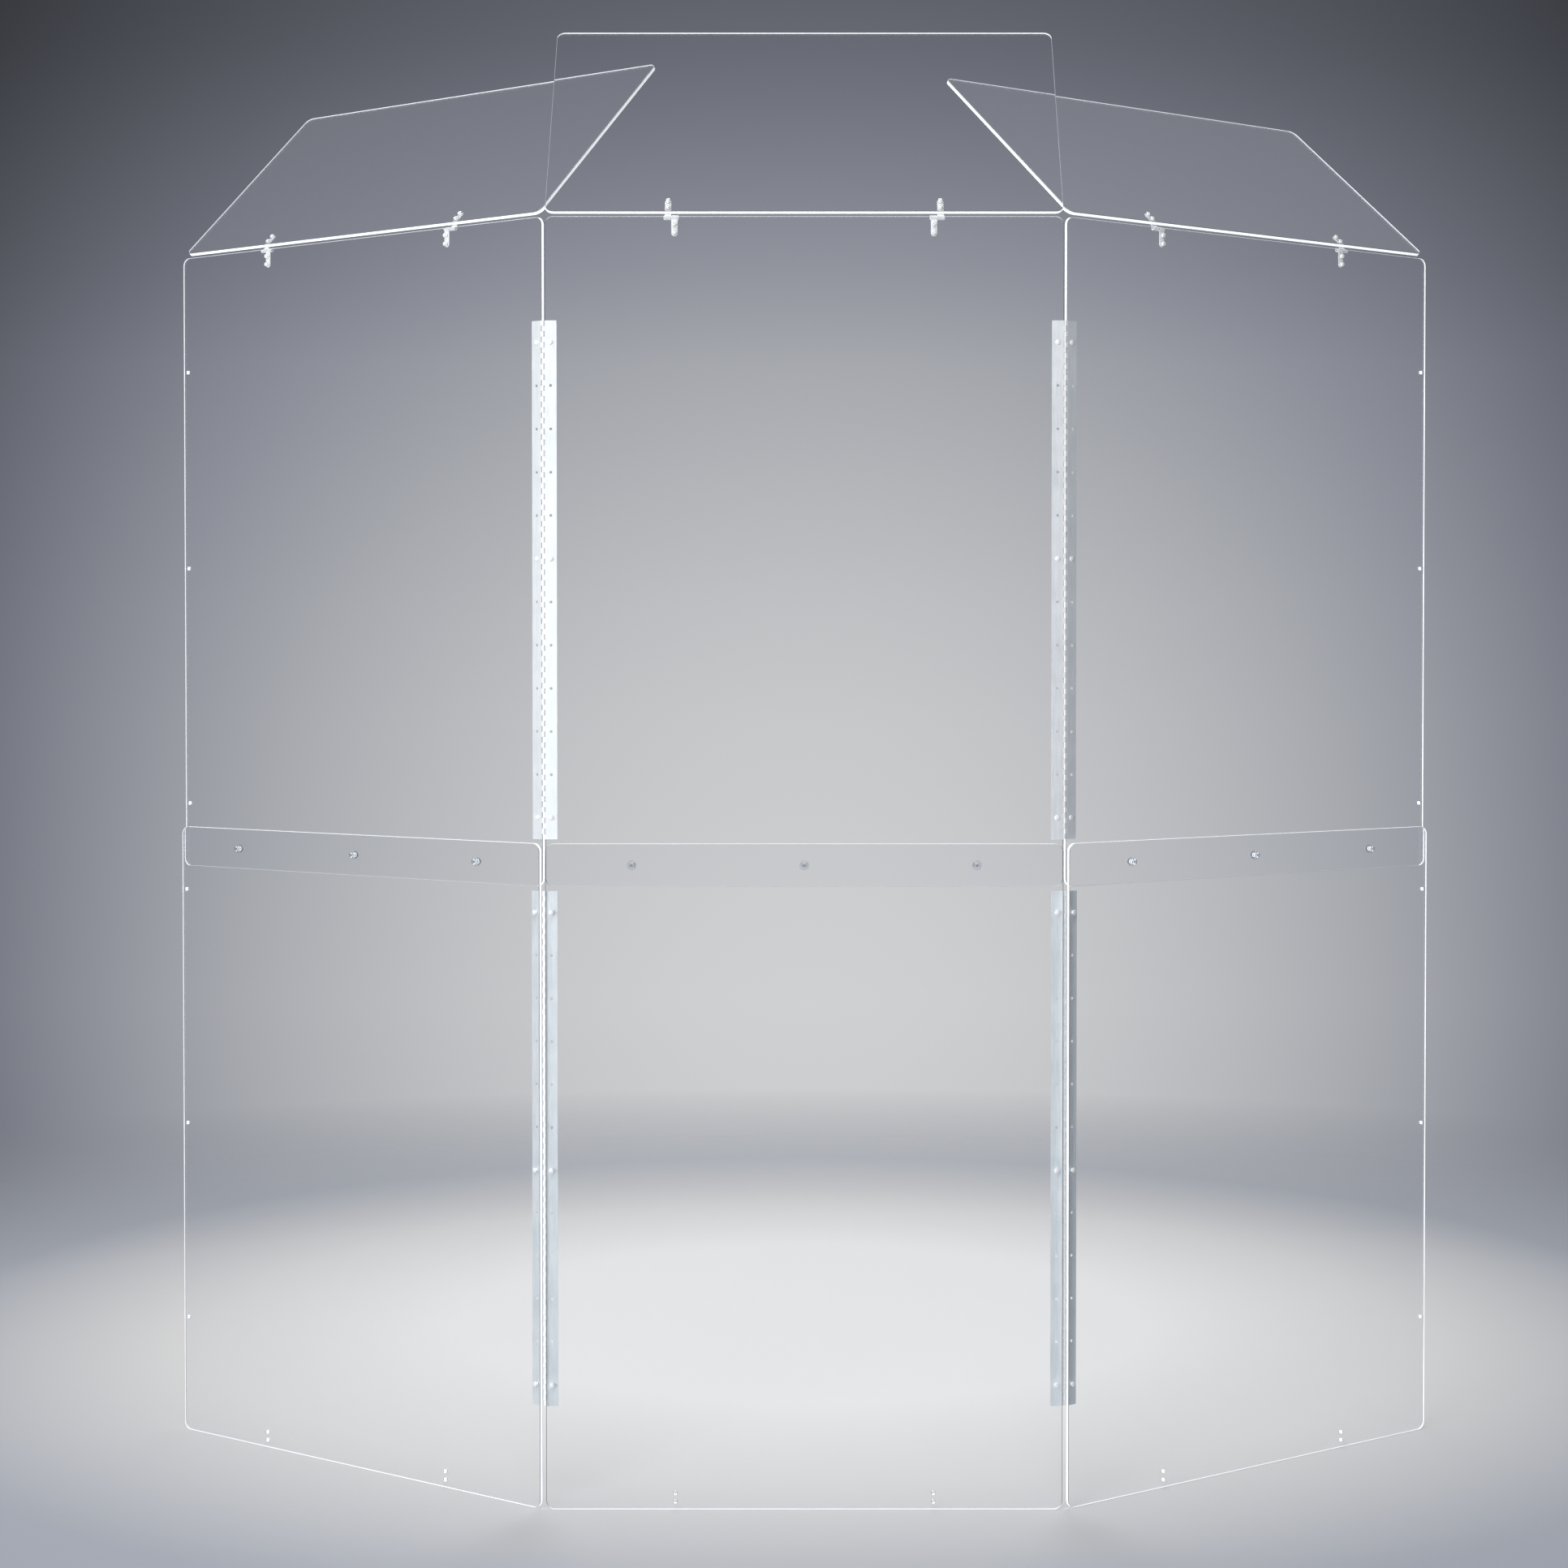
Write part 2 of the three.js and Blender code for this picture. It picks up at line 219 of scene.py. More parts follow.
def make_camera():
    data = bpy.data.cameras.new("camera")
    data.sensor_width = CAMERA_SENSOR
    data.lens = CAMERA_LENS
    data.shift_x, data.shift_y = CAMERA_SHIFT
    data.clip_end = CAMERA_REACH
    camera = bpy.data.objects.new("camera", data)
    camera.location = CAMERA_PLACE
    camera.rotation_euler = (math.radians(90 - CAMERA_PITCH), 0, 0)
    bpy.context.scene.collection.objects.link(camera)
    bpy.context.scene.camera = camera


make_camera()


# Shapes

UNMOVED = Matrix.Identity(4)
MIRROR_X = Matrix.Scale(-1, 4, (1, 0, 0))
MIRROR_Y = Matrix.Scale(-1, 4, (0, 1, 0))
MIRROR_Z = Matrix.Scale(-1, 4, (0, 0, 1))
FRONT_TO_UP = Matrix.Rotation(-math.pi / 2, 4, "X")
FRONT_TO_SIDE = Matrix.Rotation(math.pi / 2, 4, "Z")


def translation(x=0.0, y=0.0, z=0.0):
    return Matrix.Translation((x, y, z))


class Shape:
    """Points and faces of a piece. Each face has the number of its material."""

    def __init__(self):
        self.points = []
        self.faces = []
        self.kinds = []
        self.smooth = []

    def add(self, points, faces, kind=0, smooth=True):
        start = len(self.points)
        self.points.extend(Vector(point) for point in points)
        self.faces.extend([start + i for i in face] for face in faces)
        self.kinds.extend([kind] * len(faces))
        self.smooth.extend([smooth] * len(faces))

    def place(self, other, matrix=UNMOVED):
        """Adds another shape, moved by the matrix, with its faces turned back where it is mirrored."""
        mirrored = matrix.determinant() < 0
        start = len(self.points)
        self.points.extend(matrix @ point for point in other.points)
        for face in other.faces:
            moved = [start + i for i in face]
            self.faces.append(moved[::-1] if mirrored else moved)
        self.kinds.extend(other.kinds)
        self.smooth.extend(other.smooth)

    def of_kind(self, kind):
        """This shape with one material throughout."""
        self.kinds = [kind] * len(self.faces)
        return self

    def bridge(self, loops, kind=0, closed=False):
        """Walls between loops of equal length, each further back than the one before it."""
        pairs = list(zip(loops, loops[1:]))
        if closed:
            pairs.append((loops[-1], loops[0]))
        for near, far in pairs:
            count = len(near)
            nexts = [(i + 1) % count for i in range(count)]
            faces = [(i, count + i, count + after, after) for i, after in enumerate(nexts)]
            self.add([*near, *far], faces, kind)

    def fill(self, loops, facing_front):
        """A flat face at one y inside the first loop and outside the rest."""
        rings = [[Vector(point) for point in loop] for loop in loops]
        points = [point for ring in rings for point in ring]
        faces = []
        for a, b, c in tessellate_polygon(rings):
            ab = points[b] - points[a]
            ac = points[c] - points[a]
            to_front = ab.x * ac.z - ab.z * ac.x > 0
            faces.append((a, b, c) if to_front == facing_front else (a, c, b))
        self.add(points, faces, smooth=False)

    def cap(self, loop, facing_front):
        """A flat face inside one loop that every ray from its middle crosses once."""
        count = len(loop)
        middle = sum((Vector(point) for point in loop), Vector()) / count
        faces = []
        for i in range(count):
            after = (i + 1) % count
            faces.append((count, i, after) if facing_front else (count, after, i))
        self.add([*loop, middle], faces, smooth=False)


def outline_with_arcs(low, high, radii):
    """Gives an upright outline with rounded corners, set in by any distance. Radii start at low."""
    ways = ((1, 1), (-1, 1), (-1, -1), (1, -1))
    corners = ((low[0], low[1]), (high[0], low[1]), (high[0], high[1]), (low[0], high[1]))

    def at(inset):
        points = []
        for i, ((x, z), (way_x, way_z), radius) in enumerate(zip(corners, ways, radii)):
            middle_x = x + way_x * radius
            middle_z = z + way_z * radius
            reach = radius - inset
            for step in range(ARC_STEPS + 1):
                angle = math.pi + (i + step / ARC_STEPS) * math.pi / 2
                points.append((middle_x + reach * math.cos(angle), middle_z + reach * math.sin(angle)))
        return points

    return at


def round_hole(x, z, r):
    """Gives a round hole's outline, widened by any distance."""

    def at(inset):
        points = []
        for i in range(CIRCLE_STEPS):
            angle = -2 * math.pi * i / CIRCLE_STEPS
            reach = r + inset
            points.append((x + reach * math.cos(angle), z + reach * math.sin(angle)))
        return points

    return at


def plate(outline, holes, front, back, arris, kinds=(0, 0, 0), border=0):
    """A plate between two values of y, whose outline and holes have a small arris.

    The kinds are those of the outer wall, the holes' walls, and the arris with its border.
    """
    shape = Shape()
    wall_kind, bore_kind, rim_kind = kinds
    near = front + arris
    far = back - arris
    levels = [(front, arris), (near, 0), (near + border, 0), (far - border, 0), (far, 0), (back, arris)]
    for loop in (outline, *holes):
        rings = [[(x, y, z) for x, z in loop(inset)] for y, inset in levels]
        shape.bridge(rings[:3] if border else rings[:2], rim_kind)
        shape.bridge(rings[2:4], wall_kind if loop is outline else bore_kind)
        shape.bridge(rings[3:] if border else rings[4:], rim_kind)
    for y, facing_front in ((front, True), (back, False)):
        loops = [[(x, y, z) for x, z in loop(arris)] for loop in (outline, *holes)]
        shape.fill(loops, facing_front)
    return shape


def ring_at(r, y, steps=CIRCLE_STEPS):
    turn = [2 * math.pi * i / steps for i in range(steps)]
    return [(r * math.cos(angle), y, r * math.sin(angle)) for angle in turn]


def capped(loops):
    """Walls between loops from front to back, closed at both ends."""
    shape = Shape()
    shape.bridge(loops)
    shape.cap(loops[0], True)
    shape.cap(loops[-1], False)
    return shape


def turned(profile):
    """A solid of revolution about Y from its radii and y values, from front to back."""
    return capped([ring_at(r, y) for r, y in profile])


def turned_ring(profile):
    """A ring about Y from its radii and y values, from the bore's front end round the outside."""
    shape = Shape()
    shape.bridge([ring_at(r, y) for r, y in profile], closed=True)
    return shape


def dome(head_r, head_h, base_y):
    """Radii and y values of a low domed head in front of base_y, from its top to its rim."""
    rim = head_h * DOME_RIM_SHARE
    profile = []
    for step in range(1, DOME_STEPS + 1):
        angle = step / DOME_STEPS * math.pi / 2
        y = base_y - rim - (head_h - rim) * math.cos(angle)
        profile.append((head_r * math.sin(angle), y))
    profile.append((head_r, base_y))
    return profile


def cross_ring(arm_l, arm_w, y):
    """Outline of a cross recess, as seen from the front."""
    points = []
    for i in range(CIRCLE_STEPS):
        angle = 2 * math.pi * i / CIRCLE_STEPS
        x_share = max(abs(math.cos(angle)), TINY)
        z_share = max(abs(math.sin(angle)), TINY)
        r = max(min(arm_w / x_share, arm_l / z_share), min(arm_w / z_share, arm_l / x_share))
        points.append((r * math.cos(angle), y, r * math.sin(angle)))
    return points


def nut_ring(across, y):
    """Outline of a nut, measured across its flats."""
    points = []
    side = 2 * math.pi / NUT_SIDES
    for i in range(NUT_STEPS):
        angle = 2 * math.pi * i / NUT_STEPS
        off = (angle + side / 2) % side - side / 2
        r = across / 2 / math.cos(off)
        points.append((r * math.cos(angle), y, r * math.sin(angle)))
    return points


def screw_head(head_r, head_h, base_y):
    """Domed head with a cross recess, over the end of its shank."""
    arm_l = RECESS_ARM_SHARE * head_r
    arm_w = RECESS_WIDTH_SHARE * head_r
    floor_l, floor_w = RECESS_FLOOR_SHARES
    mouth_y = base_y - RECESS_MOUTH_SHARE * head_h
    floor_y = base_y - RECESS_DEPTH_SHARE * head_h
    flat_r = FLAT_TOP_SHARE * head_r
    loops = [
        cross_ring(floor_l * arm_l, floor_w * arm_w, floor_y),
        cross_ring(arm_l, arm_w, mouth_y),
        ring_at(flat_r, mouth_y),
    ]
    loops += [ring_at(r, y) for r, y in dome(head_r, head_h, base_y) if r > flat_r]
    loops.append(ring_at(HEAD_BACK_SHARE * head_r, base_y))
    return capped(loops)


def nut(across, height, base_y):
    """Low domed nut behind base_y."""
    loops = [nut_ring(across, base_y), nut_ring(across, base_y + NUT_WALL_SHARE * height)]
    for r_share, height_share in NUT_DOME_SHARES:
        loops.append(ring_at(r_share * across, base_y + height_share * height, NUT_STEPS))
    return capped(loops)


def shank(r, front, back):
    return turned([(r, front), (r, back)])


def rivet(stack):
    """Rivet through a piano hinge's leaf and sheet, domed at both ends."""
    front, back = stack
    shape = Shape()
    head = turned(dome(HINGE_HEAD_R, HEAD_H, 0))
    shape.place(head, translation(y=front))
    shape.place(head, translation(y=back) @ MIRROR_Y)
    shape.place(shank(SHANK_R, front, back))
    return shape


def clip_screw(stack):
    """Screw through a friction hinge's leaf and sheet, with its nut on the leaf."""
    front, back = stack
    shape = Shape()
    shape.place(screw_head(CLIP_HEAD_R, HEAD_H, front))
    shape.place(shank(SHANK_R, front, back))
    shape.place(nut(NUT_WIDTH_SHARE * CLIP_HEAD_R, HEAD_H, back))
    return shape


def make_piece(name, shape, matrix, materials):
    """A mesh in metres at its place in the frame, its doubled points joined."""
    placed = Shape()
    placed.place(shape, Matrix.Scale(MM, 4) @ matrix)
    mesh = bpy.data.meshes.new(name)
    mesh.from_pydata(placed.points, [], placed.faces)
    for material in materials:
        mesh.materials.append(material)
    mesh.polygons.foreach_set("material_index", placed.kinds)
    mesh.polygons.foreach_set("use_smooth", placed.smooth)
    work = bmesh.new()
    work.from_mesh(mesh)
    bmesh.ops.remove_doubles(work, verts=work.verts, dist=WELD)
    for edge in work.edges:
        edge.smooth = edge.calc_face_angle(0) < SHARP_ANGLE
    work.to_mesh(mesh)
    work.free()
    piece = bpy.data.objects.new(name, mesh)
    bpy.context.scene.collection.objects.link(piece)
    return piece


def dress(node, shape, matrix, materials, body):
    """Adds the piece that stands for one node of the solids."""
    piece = make_piece("fine_" + node, shape, matrix, materials)
    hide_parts(node)
    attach(piece, body)


# Materials


class Nodes:
    """A node tree, with short ways to add and join nodes."""

    def __init__(self, tree):
        self.tree = tree
        tree.nodes.clear()

    def add(self, kind, **settings):
        node = self.tree.nodes.new("ShaderNode" + kind)
        for key, value in settings.items():
            setattr(node, key, value)
        return node

    def link(self, source, target):
        self.tree.links.new(source, target)

    def math(self, operation, a, b=None, clamp=False):
        node = self.add("Math", operation=operation, use_clamp=clamp)
        for socket, value in zip(node.inputs, (a, b)):
            if value is None:
                continue
            if isinstance(value, (int, float)):
                socket.default_value = value
            else:
                self.link(value, socket)
        return node.outputs[0]

    def times(self, colour, share):
        node = self.add("VectorMath", operation="MULTIPLY")
        self.link(colour, node.inputs[0])
        self.link(share, node.inputs[1])
        return node.outputs[0]

    def ramp(self, factor, stops):
        node = self.add("ValToRGB")
        elements = node.color_ramp.elements
        while len(elements) < len(stops):
            elements.new(1)
        for element, (position, colour) in zip(elements, stops):
            element.position = position
            element.color = (*colour, 1)
        self.link(factor, node.inputs[0])
        return node.outputs[0]

    def parts(self, source):
        """The three parts of a place or direction."""
        node = self.add("SeparateXYZ")
        self.link(source, node.inputs[0])
        return node.outputs

    def distance(self, x, y):
        squares = [self.math("MULTIPLY", part, part) for part in (x, y)]
        return self.math("SQRT", self.math("ADD", *squares))

    def noise(self, scale, detail, stretch=(1, 1, 1)):
        place = self.add("TexCoord").outputs["Object"]
        mapping = self.add("Mapping")
        mapping.inputs["Scale"].default_value = stretch
        self.link(place, mapping.inputs["Vector"])
        noise = self.add("TexNoise")
        noise.inputs["Scale"].default_value = scale
        noise.inputs["Detail"].default_value = detail
        self.link(mapping.outputs[0], noise.inputs["Vector"])
        return noise.outputs["Fac"]

    def bump(self, height, strength, distance):
        node = self.add("Bump")
        node.inputs["Strength"].default_value = strength
        node.inputs["Distance"].default_value = distance
        self.link(height, node.inputs["Height"])
        return node.outputs[0]

    def mix(self, share, first, second):
        """The first shader, given over to the second as the share grows."""
        node = self.add("MixShader")
        self.link(share, node.inputs[0])
        self.link(first.outputs[0], node.inputs[1])
        self.link(second.outputs[0], node.inputs[2])
        return node

    def show(self, shader, kind="OutputMaterial"):
        """Makes a shader what the tree gives out."""
        self.link(shader.outputs[0], self.add(kind).inputs["Surface"])


def new_material(name):
    material = bpy.data.materials.new(name)
    material.use_nodes = True
    return material, Nodes(material.node_tree)


TOP_LEVEL = 255


def level(value):
    """The linear light of an 8-bit display level, by the sRGB curve."""
    share = value / TOP_LEVEL
    return share / 12.92 if share <= 0.04045 else ((share + 0.055) / 1.055) ** 2.4


PLASTIC_IOR = 1.49
SWIRL = {"scale": 7.0, "detail": 3.0}
SWIRL_DEPTH = 0.002


def clear_material(name, tint, shadow, ripple):
    """Clear plastic that bends what is behind it and lets light through to what it shades."""
    material, nodes = new_material(name)
    glass = nodes.add("BsdfPrincipled")
    glass.inputs["Base Color"].default_value = (*tint, 1)
    glass.inputs["Roughness"].default_value = 0.0
    glass.inputs["IOR"].default_value = PLASTIC_IOR
    glass.inputs["Transmission Weight"].default_value = 1.0
    waves = nodes.bump(nodes.noise(**SWIRL), ripple, SWIRL_DEPTH)
    nodes.link(waves, glass.inputs["Normal"])
    through = nodes.add("BsdfTransparent")
    through.inputs["Color"].default_value = (*shadow, 1)
    path = nodes.add("LightPath")
    unseen = nodes.math("MAXIMUM", path.outputs["Is Shadow Ray"], path.outputs["Is Diffuse Ray"])
    nodes.show(nodes.mix(unseen, glass, through))
    return material


# How white an edge is painted, by how far its normal points back, and up, as the shield stands: painted
# light and shade
BACK_PAINTED_LIGHT = ((0.0, 1.0), (0.3, 0.85))
SHEET_UP_PAINTED_LIGHT = ((-1.0, 1.2), (-0.4, 0.0), (0.4, 0.0), (1.0, 1.6))
FLAP_UP_PAINTED_LIGHT = ((0.4, 1.0), (0.66, 0.33), (0.82, 0.1))
# Painted light and shade of an edge's arris, by how far its normal points up or down
SHEET_RIM_PAINTED_LIGHT = ((-0.6, 0.8), (-0.3, 0.2), (0.3, 0.2), (0.6, 0.8))
FLAP_RIM_PAINTED_LIGHT = ((0.1, 0.2), (0.3, 0.6), (0.6, 0.5), (0.8, 0.05))

EDGE_STREAKS = {"scale": 240.0, "detail": 5.0, "stretch": (1, 1, 0.25)}
EDGE_WHITES = ((0.3, (0.86, 0.89, 0.93)), (0.65, (0.96, 0.98, 1.0)))
EDGE_ROUGHNESS = 0.32
# Painted glow: the edges give out light of their own, though they are no lamp
EDGE_PAINTED_GLOW = 0.5
EDGE_BUMP = {"strength": 0.25, "distance": 0.0003}
RIM_CLOUDS = {"scale": 180.0, "detail": 4.0}
RIM_WHITES = ((0.3, (0.85, 0.88, 0.93)), (0.7, (1.0, 1.03, 1.08)))
RIM_ROUGHNESS = 0.25
RIM_BUMP = {"strength": 0.1, "distance": 0.0002}


def share_by(nodes, way, stops):
    """A share that changes along one part of the normal, which runs from -1 to 1."""
    upright = nodes.math("ADD", nodes.math("MULTIPLY", way, 0.5), 0.5)
    return nodes.ramp(upright, [((at + 1) / 2, (value,) * 3) for at, value in stops])


def edge_material(name, operation=None, up_painted_light=None):
    """Flame-polished edge, painted white with a glow of its own, which stands in for the light that runs
    inside the sheet.

    The operation joins the two painted shares of light and shade, by how far the normal points back and
    up. Without one the edge is evenly white, with the same painted glow.
    """
    material, nodes = new_material(name)
    shader = nodes.add("BsdfPrincipled")
    streaks = nodes.noise(**EDGE_STREAKS)
    white = nodes.ramp(streaks, EDGE_WHITES)
    base = glow = white
    if operation:
        facing = nodes.parts(nodes.add("TexCoord").outputs["Normal"])
        back_share = share_by(nodes, facing[1], BACK_PAINTED_LIGHT)
        share = nodes.math(operation, back_share, share_by(nodes, facing[2], up_painted_light))
        # Painted light and shade: the edge's colour and glow scaled by the direction of its normal
        base = nodes.times(white, nodes.math("MINIMUM", share, 1.0))
        glow = nodes.times(white, share)
    nodes.link(base, shader.inputs["Base Color"])
    nodes.link(glow, shader.inputs["Emission Color"])
    shader.inputs["Roughness"].default_value = EDGE_ROUGHNESS
    shader.inputs["Emission Strength"].default_value = EDGE_PAINTED_GLOW
    nodes.link(nodes.bump(streaks, **EDGE_BUMP), shader.inputs["Normal"])
    nodes.show(shader)
    return material


def rim_material(name, painted_light_tones):
    """Arris of an edge, with painted light and shade: its tone changes as its normal points up or down.
    """
    material, nodes = new_material(name)
    shader = nodes.add("BsdfPrincipled")
    clouds = nodes.noise(**RIM_CLOUDS)
    facing = nodes.parts(nodes.add("TexCoord").outputs["Normal"])
    tone = share_by(nodes, facing[2], painted_light_tones)
    nodes.link(nodes.times(tone, nodes.ramp(clouds, RIM_WHITES)), shader.inputs["Base Color"])
    shader.inputs["Roughness"].default_value = RIM_ROUGHNESS
    nodes.link(nodes.bump(clouds, **RIM_BUMP), shader.inputs["Normal"])
    nodes.show(shader)
    return material


GRAIN_DETAIL = 6.0
GRAIN_SHARE = 0.6
GRAIN_SPAN = (0.36, 0.62)
GRAIN_DEPTH = 0.0002
METAL_CLOUDS = {"scale": 35.0, "detail": 3.0}
ROUGHNESS_SPREAD = 0.35


def metal_material(name, dark, light, metallic, roughness, grain_scale, grain, dents):
    """Metal with a fine grain drawn along one direction, cloudy patches and small dents."""
    material, nodes = new_material(name)
    shader = nodes.add("BsdfPrincipled")
    shader.inputs["Metallic"].default_value = metallic
    lines = nodes.noise(grain_scale, GRAIN_DETAIL, grain)
    clouds = nodes.noise(**METAL_CLOUDS)
    line_part = nodes.math("MULTIPLY", lines, GRAIN_SHARE)
    cloud_part = nodes.math("MULTIPLY", clouds, 1 - GRAIN_SHARE)
    both = nodes.math("ADD", line_part, cloud_part)
    nodes.link(nodes.ramp(both, list(zip(GRAIN_SPAN, (dark, light)))), shader.inputs["Base Color"])
    spread = nodes.math("MULTIPLY", nodes.math("SUBTRACT", both, 0.5), ROUGHNESS_SPREAD)
    nodes.link(nodes.math("ADD", spread, roughness, clamp=True), shader.inputs["Roughness"])
    nodes.link(nodes.bump(lines, dents, GRAIN_DEPTH), shader.inputs["Normal"])
    nodes.show(shader)
    return material


SHEET = clear_material("acrylic_face", tint=(0.985, 0.992, 1.0), shadow=(0.98, 0.985, 0.99), ripple=0.02)
BORE = edge_material("acrylic_bore")
SHEET_SET = (
    SHEET,
    edge_material("sheet_edge", "MAXIMUM", SHEET_UP_PAINTED_LIGHT),
    BORE,
    rim_material("sheet_rim", SHEET_RIM_PAINTED_LIGHT),
)
FLAP_SET = (
    SHEET,
    edge_material("flap_edge", "MINIMUM", FLAP_UP_PAINTED_LIGHT),
    BORE,
    rim_material("flap_rim", FLAP_RIM_PAINTED_LIGHT),
)
FASTENER = clear_material(
    "clear_fastener", tint=(0.97, 0.985, 1.0), shadow=(0.85, 0.88, 0.9), ripple=0.04
)
HINGE = metal_material(
    "satin_aluminium", dark=(0.81, 0.86, 0.88), light=(0.92, 0.96, 0.98), metallic=0.45,
    roughness=0.42, grain_scale=900.0, grain=(1, 1, 0.04), dents=0.06,
)
CLIP = metal_material(
    "bright_plating", dark=(0.96, 0.97, 0.98), light=(1.0, 1.0, 1.0), metallic=0.1,
    roughness=0.24, grain_scale=120.0, grain=(0.3, 1, 1), dents=0.01,
)
PIN = metal_material(
    "drawn_steel", dark=(0.68, 0.7, 0.72), light=(0.84, 0.85, 0.87), metallic=0.95,
    roughness=0.3, grain_scale=700.0, grain=(1, 1, 0.1), dents=0.1,
)


# Sheets and deflectors


def sheet(low, high, holes, front):
    """A sheet between two corners, with its corners rounded, back from the y of its front."""
    outline = outline_with_arcs(low, high, [CORNER_R] * 4)
    return plate(outline, holes, front, front + SHEET_T, SHEET_ARRIS, SHEET_KINDS, EDGE_BORDER)


def sheet_holes(tier):
    holes = []
    for side in (-1, 1):
        for inset in PANEL_CLIP_HOLES:
            x = side * (CLIP_SPACING / 2 - CLIP_LEAF_X)
            holes.append(round_hole(x, tier.z_at(inset), HOLE_R))
        for index in FIXED_HOLES:
            x = side * (PANEL_W / 2 - HINGE_HOLE_INSET)
            v = HINGE_FROM_END + FIRST_HOLE + index * HINGE_HOLE_PITCH
            holes.append(round_hole(x, tier.z_at(v), HOLE_R))
    for share in LAP_SHARES:
        holes.append(round_hole(share * PANEL_W, tier.z_at(PANEL_H - LAP / 2), LAP_HOLE_R))
    return holes


def panel(tier):
    low_z, high_z = sorted((tier.z_at(0), tier.z_at(PANEL_H)))
    return sheet((-PANEL_W / 2, low_z), (PANEL_W / 2, high_z), sheet_holes(tier), tier.front)


def deflector(trim_side):
    """A deflector about its pins' axis, upright, cut short on the side that trim_side names."""
    low_x = -PANEL_W / 2 + (WING_DEFLECTOR_TRIM if trim_side < 0 else 0)
    high_x = PANEL_W / 2 - (WING_DEFLECTOR_TRIM if trim_side > 0 else 0)
    low = (low_x, DEFLECTOR_LIFT)
    high = (high_x, DEFLECTOR_LIFT + DEFLECTOR_H)
    holes = []
    for side in (-1, 1):
        for inset in DEFLECTOR_CLIP_HOLES:
            x = side * (CLIP_SPACING / 2 + CLIP_LEAF_X)
            holes.append(round_hole(x, DEFLECTOR_LIFT + inset, HOLE_R))
    return sheet(low, high, holes, -CLIP_BARREL_R - SEAT_GAP - SHEET_T)


# Lap fasteners


def lap_screw():
    head_y = LOWER_FRONT - SEAT_GAP
    tip_y = UPPER_BACK + SEAT_GAP + INSERT_FLARE_H + LAP_TIP
    shape = screw_head(LAP_HEAD_R, LAP_HEAD_H, head_y)
    shank_end = (LAP_SHANK_R, tip_y - LAP_CHAMFER)
    tip = (LAP_SHANK_R - LAP_CHAMFER, tip_y)
    shape.place(turned([(LAP_SHANK_R, head_y), shank_end, tip]))
    return shape


def lap_insert():
    flare_y = UPPER_BACK + SEAT_GAP
    barb_y = flare_y + INSERT_BARB_SHARE * INSERT_FLARE_H
    profile = [
        (INSERT_BORE_R, LEAF_FRONT),
        (INSERT_FLANGE_R - INSERT_RIM, LEAF_FRONT),
        (INSERT_FLANGE_R, LEAF_FRONT + INSERT_RIM),
        (INSERT_FLANGE_R, LEAF_BACK - INSERT_RIM),
        (INSERT_FLANGE_R - INSERT_RIM, LEAF_BACK),
        (INSERT_R, LEAF_BACK),
        (INSERT_R, flare_y),
        (INSERT_FLARE_R, flare_y + INSERT_RIM),
        (INSERT_FLARE_R - INSERT_RIM, barb_y),
        (INSERT_R, flare_y + INSERT_FLARE_H),
        (INSERT_BORE_R, flare_y + INSERT_FLARE_H),
    ]
    return turned_ring(profile)


# Piano hinges


def knuckle(length):
    """One rolled knuckle about Z with its root in its leaf on the +X side, up from z = 0."""
    roll = 1.5 * math.pi + math.asin((BARREL_R - HINGE_LEAF_T) / BARREL_R)
    root = AXIS_TO_EDGE + NOTCH_GAP + ROOT_L
    loop = [(root, HINGE_LEAF_T - BARREL_R - ROOT_INSET)]
    for step in range(KNUCKLE_STEPS, -1, -1):
        angle = -math.pi / 2 - step / KNUCKLE_STEPS * roll
        loop.append((BARREL_R * math.cos(angle), BARREL_R * math.sin(angle)))
    loop.append((root, ROOT_INSET - BARREL_R))
    bore = round_hole(0, 0, HINGE_PIN_R + PIN_FIT)
    rolled = plate(lambda inset: loop, [bore], -length, 0, KNUCKLE_RIM)
    return rolled.of_kind(BRIGHT_KIND)


def hinge_plate(start, hole_z):
    """The flat part of a hinge's leaf, up from a height, with its open holes."""
    low = (AXIS_TO_EDGE + NOTCH_GAP, start)
    high = (HINGE_LEAF_W, start + HINGE_L)
    root_r = LEAF_ARRIS * 2
    outline = outline_with_arcs(low, high, [root_r, FREE_CORNER_R, FREE_CORNER_R, root_r])
    open_z = [z for i, z in enumerate(hole_z) if i not in FIXED_HOLES]
    holes = [round_hole(HINGE_HOLE_X, z, HINGE_HOLE_R) for z in open_z]
    return plate(outline, holes, -BARREL_R, HINGE_LEAF_T - BARREL_R, LEAF_ARRIS)


def hinge_leaf(tier, first):
    """A piano hinge's leaf on the +X side of its pin, which stands at x = 0, y = 0.

    Its knuckles are every other one of the hinge's, from the first given.
    """
    start = min(tier.z_at(HINGE_FROM_END), tier.z_at(HINGE_FROM_END + HINGE_L))
    hole_v = [HINGE_FROM_END + FIRST_HOLE + i * HINGE_HOLE_PITCH for i in range(HOLE_COUNT)]
    hole_z = [tier.z_at(v) for v in hole_v]
    shape = hinge_plate(start, hole_z)
    one = Shape()
    one.place(knuckle(KNUCKLE_PITCH - KNUCKLE_GAP), FRONT_TO_UP)
    for i in range(first, round(HINGE_L / KNUCKLE_PITCH), 2):
        shape.place(one, translation(z=start + i * KNUCKLE_PITCH + KNUCKLE_GAP / 2))
    fixing = rivet([y - AXIS_Y for y in tier.stack]).of_kind(BRIGHT_KIND)
    for index in FIXED_HOLES:
        shape.place(fixing, translation(x=HINGE_HOLE_X, z=hole_z[index]))
    return shape


def rod(r, length, rounding):
    """A round rod along Y about its middle, with rounded ends."""
    profile = []
    for step in range(1, ROD_STEPS + 1):
        angle = step / ROD_STEPS * math.pi / 2
        depth = rounding * (1 - math.cos(angle))
        profile.append((r - rounding + rounding * math.sin(angle), -length / 2 + depth))
    profile += [(radius, -y) for radius, y in profile[::-1]]
    return turned(profile)


# Friction hinges


